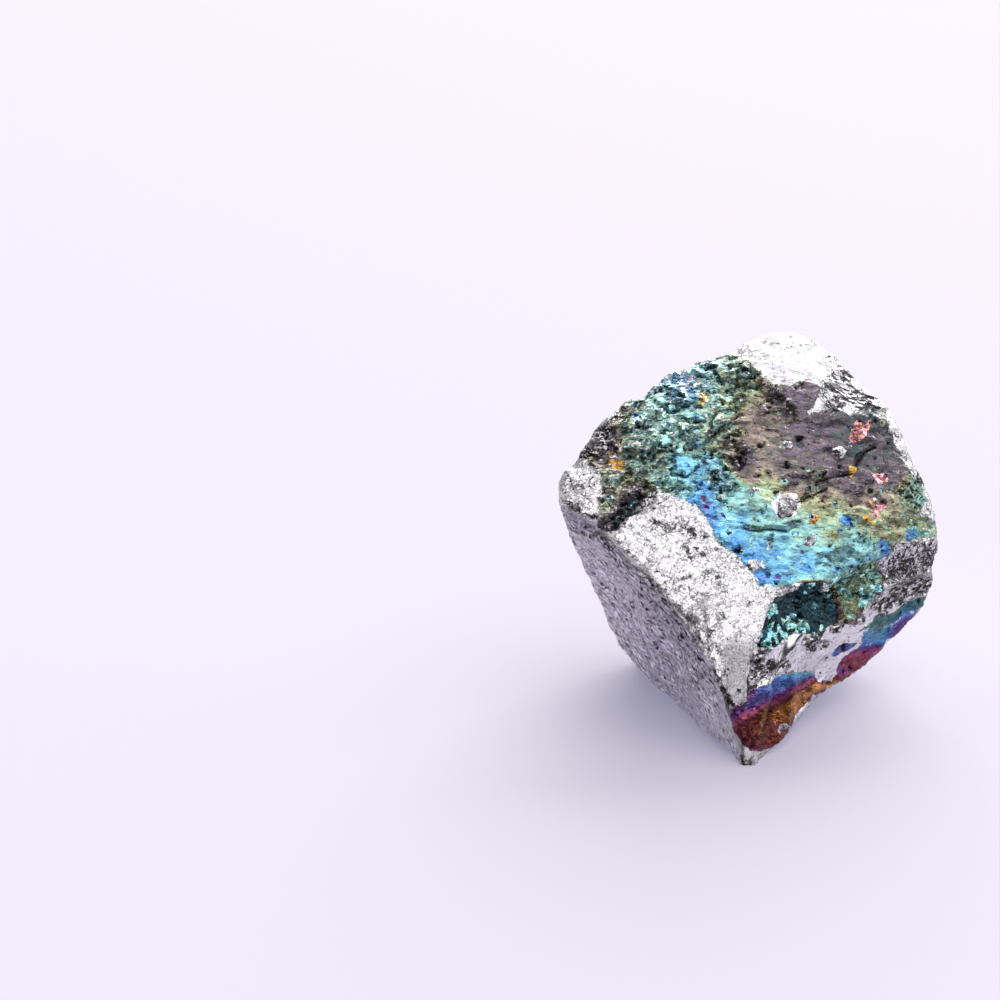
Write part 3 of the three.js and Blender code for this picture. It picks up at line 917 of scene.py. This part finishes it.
# The metal's finish: bright ferromanganese, and an oxide film whose thickness picks its colour.
finish = {
    "silver": (0.78, 0.765, 0.795),
    # a duller silver: the left face's own, and painted shade on the bright face's foot
    "dullSilver": (0.63, 0.585, 0.665),
    "filmColours": [  # thickness and colour
        (0.00, (0.76, 0.44, 0.50)), (0.03, (0.76, 0.33, 0.38)), (0.055, (0.72, 0.46, 0.08)),
        (0.085, (0.64, 0.38, 0.07)), (0.11, (0.58, 0.25, 0.12)), (0.145, (0.44, 0.18, 0.045)),
        (0.20, (0.13, 0.030, 0.026)), (0.25, (0.33, 0.07, 0.14)), (0.31, (0.13, 0.045, 0.19)),
        (0.38, (0.09, 0.12, 0.34)), (0.46, (0.085, 0.26, 0.56)), (0.54, (0.18, 0.41, 0.47)),
        (0.62, (0.23, 0.41, 0.35)), (0.69, (0.30, 0.33, 0.18)), (0.76, (0.22, 0.16, 0.155)),
        (0.795, (0.155, 0.150, 0.125)), (0.83, (0.13, 0.105, 0.12)), (0.86, (0.105, 0.082, 0.115)),
        (0.90, (0.075, 0.073, 0.073)), (1.00, (0.026, 0.070, 0.090)),
    ],
    # each pattern's size in mm, its detail and its roughness
    "patterns": {
        "fray": (1.6, 5, 0.7), "streak": (1.8, 6, 0.7), "blot": (3, 6, 0.7), "band": (1.1, 5, 0.75),
        "comb": (0.5, 5, 0.75), "rougher": (9, 3, 0.5), "speckle": (0.8, 5, 0.72),
        "creased": (1.6, 5, 0.7), "hair": (2.6, 3, 0.6), "stroke": (0.5, 4, 0.75),
        "patch": (2.5, 3, 0.5), "foil": (1.3, 4, 0.6), "flow": (0.9, 4, 0.6),
    },
    "fray": 3.4,  # mm, how far the film's edge frays
    "fleckFray": 0.55,
    "levelStretch": (0.28, 0.8, 1),
    # how far each of these shifts the film's thickness, and what is left of that in a fleck
    "wander": {"streak": 0.26, "blot": 0.32, "facet": 0.20, "inFleck": 0.35},
    # pinholes in a share of the cells, each with a rim where the film grew thicker or thinner, and a hole
    # painted dark as painted shade
    "pins": {"size": 1.7, "share": 0.22, "brokenShare": 0.25, "radius": 0.08, "spread": 0.20,
             "hole": (0.7, 1.15), "rim": (1.2, 2.2), "rimLevel": 0.65, "rimShift": 0.5, "rimDepth": -0.8,
             "shade": -0.93},
    # the glints' tone is a painted highlight: their film colour is painted this many times brighter
    "glint": {"size": 1.2, "thickness": 0.52, "spread": 0.13, "tone": 2.3, "lift": 1.0},
    # two limits, and where there are four numbers, what they give
    "filmRim": (-0.05, 0.06),
    "bands": (0.34, 0.62, 0.45, 1.35),
    "combing": (0.40, 0.60, 0.45, 1.5),
    "rougherWhere": (0.42, 0.56, 0.35, 1),
    "hairWidth": (0.003, 0.02, 0.45, 1),
    "creaseWidth": (0.03, 0.12),
    "creasePatches": (0.44, 0.56),
    "creaseBroken": (0.25, 0.6),
    "crackShadeWidth": (0.08, 0.26, 0.03, 1),
    "pitShade": (0.25, 0.8, 1, 0.08),
    "strokeShade": (0.40, 0.48, 0.55, 1),
    "strokeBroken": (0.1, 0.5),
    "sootRim": (-0.004, 0.004, 0.07, 1),
    "metallicFrom": (0.15, 0.55),  # darker is black spots, lighter is metal
    "shineFrom": (0.1, 0.5, 0.1, 0.5),
    "blackSpotRoughness": (0.15, 0.7, 0.35, 0),
    # a factor and what is added
    "facetShade": (0.16, 0.86),
    "grainShade": (0.18, 0.86),
    "wornLevel": (-0.5, 0.66),
    "blackSpotLevel": (0.22, 0.385),
    "creaseDark": (0.4, -0.75),
    "keenness": (0.8, 0.2),
    "combKeep": 0.4,  # shares of a pattern's rate that are left along the grain
    "hairKeep": (0.25, 0.35),  # on the cap and on the right face
    "flakeSize": 0.85,
    "grainSize": 0.45,
    "upturnedLift": 0.55,
    "spark": {"share": 0.05, "lift": 1.3},
    "bareRoughness": 0.17,
    "filmRoughness": 0.28,
    "leftRoughness": 0.32,
    "patchRoughness": 0.25,
    "facetTilt": 1.2,
    "grainTilt": 0.35,
    "filmTilt": 0.4,
    "foilDepth": 0.4,
    "filmDepth": 0.3,
}


def pattern(place, name):
    size, detail, rough = finish["patterns"][name]
    return clouds(place, 1 / size, detail, rough)


def centred(place, name):
    return less(pattern(place, name), 0.5)


# Where each spot lies: on which face, in the film or not, and in which facets.
def findPlaces(tree):
    at = SimpleNamespace(tree=tree)
    at.place = scaled(addNode("ShaderNodeTexCoord", tree=tree).outputs["Object"], 1 / mm)
    at.left, at.right = marked(at, "left"), marked(at, "right")
    at.broken = marked(at, "broken")
    at.frayed = times(centred(at.place, "fray"), finish["fray"])
    edge = timesPlus(at.frayed, marked(at, "ragged"), marked(at, "filmEdge"))
    at.inFilm = fade(edge, *finish["filmRim"])
    at.grained = grainedPlace(at)
    at.level = calcVector("MULTIPLY", warped(at.place, 5, 3), finish["levelStretch"])
    glints = cells(warped(at.place, 0.9, 1), 1 / finish["glint"]["size"])
    at.glintRoll = split(glints["Color"])
    at.glinting = calc("LESS_THAN", at.glintRoll[0], marked(at, "glint"))
    at.flakePlace = warped(warped(at.grained, 1.6, 1.3), 0.5, 0.45)
    flakes = cells(at.flakePlace, 1 / finish["flakeSize"])
    at.flakeLean, at.flakeRoll = facetLean(flakes), split(flakes["Color"])
    grains = cells(warped(at.grained, 0.5, 0.5), 1 / finish["grainSize"])
    at.grainLean, at.grainRoll = facetLean(grains), split(grains["Color"])
    at.inFleck = timesPlus(at.frayed, finish["fleckFray"], marked(at, "fleckEdge"))
    at.speckled = pattern(warped(at.grained, 0.8, 0.8), "speckle")
    return at


# Pinholes, more of them where the film is broken.
def findPins(at):
    pins = finish["pins"]
    pin = cells(warped(at.place, 0.9, 0.8), 1 / pins["size"])
    at.pinRoll = split(pin["Color"])
    share = timesPlus(at.broken, pins["brokenShare"], pins["share"])
    pinned = times(calc("LESS_THAN", at.pinRoll[1], share), at.inFilm)
    radius = timesPlus(at.pinRoll[0], pins["spread"], pins["radius"])
    reach = calc("DIVIDE", pin["Distance"], radius)
    at.inPin = times(fade(reach, *pins["hole"], 1, 0), pinned)
    at.pinRim = times(fade(reach, *pins["rim"], 1, 0), pinned)


# The film's thickness: stains, streaked and blotted, then pinholes' rims, flecks and glints.
def filmThickness(at):
    wander, pins, glint = finish["wander"], finish["pins"], finish["glint"]
    streak = times(centred(at.level, "streak"), wander["streak"])
    blot = times(centred(warped(at.place, 2, 1.5), "blot"), wander["blot"])
    facet = times(less(at.flakeRoll[0], 0.5), at.broken, wander["facet"])
    shift = added(streak, blot, facet)
    thickness = timesPlus(shift, marked(at, "mottle"), marked(at, "thickness"))
    rim = times(at.pinRim, marked(at, "mottle"))
    rimShift = times(less(at.pinRoll[2], pins["rimLevel"]), pins["rimShift"])
    thickness = timesPlus(rim, rimShift, thickness)
    fleck = timesPlus(shift, wander["inFleck"], marked(at, "fleckThickness"))
    thickness = mixed(calc("GREATER_THAN", at.inFleck, 0), thickness, fleck)
    bright = timesPlus(at.glintRoll[1], glint["spread"], glint["thickness"])
    return mixed(at.glinting, thickness, bright)


def filmColour(at):
    ramp = addNode("ShaderNodeValToRGB", {"Fac": filmThickness(at)})
    elements = ramp.color_ramp.elements
    for index, (stop, colour) in enumerate(finish["filmColours"]):
        element = elements[index] if index < 2 else elements.new(stop)
        element.position = stop
        element.color = (*colour, 1)
    bands = fade(pattern(at.level, "band"), *finish["bands"])
    # Painted highlight: glinting facets take the glint tone.
    tone = mixed(at.glinting, marked(at, "tone"), finish["glint"]["tone"])
    return scaled(ramp.outputs["Color"], times(bands, tone))


# Bare metal: each facet has its own brightness, and the left face is combed.
def bareColour(at):
    grainShade = timesPlus(at.grainRoll[1], *finish["grainShade"])
    shade = times(timesPlus(at.flakeRoll[1], *finish["facetShade"]), grainShade)
    combed = pattern(drawnOut(at.place, faces["left"]["grain"], finish["combKeep"]), "comb")
    rougher = fade(pattern(at.place, "rougher"), *finish["rougherWhere"])
    combShade = mixed(times(at.left, rougher), 1, fade(combed, *finish["combing"]))
    silver, dullSilver = (*finish["silver"], 1), (*finish["dullSilver"], 1)
    # The dullness and gain marks: the left face's duller metal, lifted by painted light; the bright
    # face's foot painted darker and duller as painted shade; the small knots painted brighter as a
    # painted highlight.
    metal = mixed(marked(at, "dullAndShaded"), silver, dullSilver, "RGBA")
    return scaled(metal, times(shade, combShade, marked(at, "gain")))


# The film over the metal; bare flecks show where the film is worn.
def surfaceColour(at):
    level = timesPlus(marked(at, "worn"), *finish["wornLevel"])
    unflecked = calc("LESS_THAN", at.inFleck, 0)
    worn = times(calc("GREATER_THAN", at.speckled, level), unflecked)
    covered = times(at.inFilm, less(1, worn))
    return mixed(covered, bareColour(at), filmColour(at), "RGBA")


# What darkens the surface: painted shade in the pits, grooves, pinholes and cracks, under the shells and
# in the creases between the facets; black spots, hairlines and strokes.
def darkness(at):
    level = timesPlus(marked(at, "soot"), *finish["blackSpotLevel"])
    soot = fade(less(at.speckled, level), *finish["sootRim"])
    # Painted shade: the creases between the facets are painted dark.
    between = cells(at.flakePlace, 1 / finish["flakeSize"], "DISTANCE_TO_EDGE")["Distance"]
    line = fade(between, *finish["creaseWidth"], 1, 0)
    creased = fade(pattern(at.place, "creased"), *finish["creasePatches"])
    creases = times(line, creased, fade(at.broken, *finish["creaseBroken"]))
    softer = calc("MAXIMUM", at.inFilm, at.left)
    depth = timesPlus(softer, *finish["creaseDark"])
    crease = timesPlus(creases, depth, 1)
    bent = warped(at.place, 6, 3)
    onCap = drawnOut(bent, faces["cap"]["grain"], finish["hairKeep"][0])
    onRight = drawnOut(bent, faces["right"]["grain"], finish["hairKeep"][1])
    hairPlace = mixed(at.right, onCap, onRight, "VECTOR")
    hair = fade(calc("ABSOLUTE", centred(hairPlace, "hair")), *finish["hairWidth"])
    smooth = calc("MAXIMUM", marked(at, "cap"), at.right)
    hair = mixed(times(smooth, less(1, at.inFilm)), 1, hair)
    # Painted shade and shadow: the cracks and the lines under the shells are painted dark.
    crackAndShadowLine = fade(marked(at, "crackAndShadowLine"), *finish["crackShadeWidth"])
    # Painted shade: the pinholes, pits and grooves are painted dark.
    pin = timesPlus(at.inPin, finish["pins"]["shade"], 1)
    pit = times(fade(marked(at, "cavity"), *finish["pitShade"]), pin)
    strokes = pattern(warped(at.grained, 0.6, 0.7), "stroke")
    stroked = fade(at.broken, *finish["strokeBroken"])
    stroke = mixed(stroked, 1, fade(strokes, *finish["strokeShade"]))
    return times(pit, crease, soot, times(crackAndShadowLine, hair, stroke))


def roughness(at):
    patchy = times(centred(at.place, "patch"), finish["patchRoughness"])
    more = finish["leftRoughness"] - finish["bareRoughness"]
    bare = timesPlus(at.left, more, finish["bareRoughness"])
    rough = mixed(at.inFilm, bare, finish["filmRoughness"])
    return added(rough, patchy, fade(at.dark, *finish["blackSpotRoughness"]))


# Facets too small for the mesh lean the normal, and glints and sparks turn it up.
def leaningNormal(at):
    normal = addNode("ShaderNodeNewGeometry", tree=at.tree).outputs["Normal"]
    squared = times(at.flakeRoll[2], at.flakeRoll[2])
    keen = times(timesPlus(times(squared, squared), *finish["keenness"]), finish["facetTilt"])
    lean = calcVector("ADD", scaled(at.flakeLean, keen), scaled(at.grainLean, finish["grainTilt"]))
    spark = times(calc("LESS_THAN", at.grainRoll[0], finish["spark"]["share"]), at.left)
    glint = times(at.glinting, at.inFilm, finish["glint"]["lift"])
    lift = added(glint, times(spark, finish["spark"]["lift"]))
    upturned = times(marked(at, "upturned"), less(1, at.inFilm))
    lift = timesPlus(upturned, finish["upturnedLift"], lift)
    lifted = addNode("ShaderNodeCombineXYZ", {"Z": lift}).outputs[0]
    share = times(at.broken, timesPlus(at.inFilm, finish["filmTilt"], 1))
    leaned = calcVector("ADD", calcVector("ADD", normal, lifted), scaled(lean, share))
    return calcVector("NORMALIZE", leaned)


def bumped(height, depth, strength, normal):
    inputs = {"Height": height, "Distance": depth * mm, "Strength": strength, "Normal": normal}
    return addNode("ShaderNodeBump", inputs).outputs[0]


# Crumpled foil over the facets, then the film's own flow, sunk round the pinholes.
def surfaceNormal(at):
    foil = calc("ABSOLUTE", centred(warped(at.grained, 1.5, 1), "foil"))
    folded = times(foil, at.broken)
    crumpled = bumped(folded, finish["foilDepth"], 1, leaningNormal(at))
    flow = times(pattern(at.level, "flow"), at.inFilm)
    height = timesPlus(at.pinRim, finish["pins"]["rimDepth"], flow)
    return bumped(height, finish["filmDepth"], 0.8, crumpled)


def metalFinish():
    material = bpy.data.materials.new("heatTintedFerromanganese")
    material.use_nodes = True
    tree = material.node_tree
    shader = tree.nodes["Principled BSDF"]
    at = findPlaces(tree)
    findPins(at)
    at.dark = darkness(at)
    feed(shader.inputs["Base Color"], scaled(surfaceColour(at), at.dark))
    feed(shader.inputs["Metallic"], fade(at.dark, *finish["metallicFrom"]))
    feed(shader.inputs["Specular IOR Level"], fade(at.dark, *finish["shineFrom"]))
    feed(shader.inputs["Roughness"], roughness(at))
    feed(shader.inputs["Normal"], surfaceNormal(at))
    return material


lump = copySolid()
markFaces(lump)
carve(lump, metalFinish())
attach(lump, "root")
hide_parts(lumpNode)
print("lump finished")
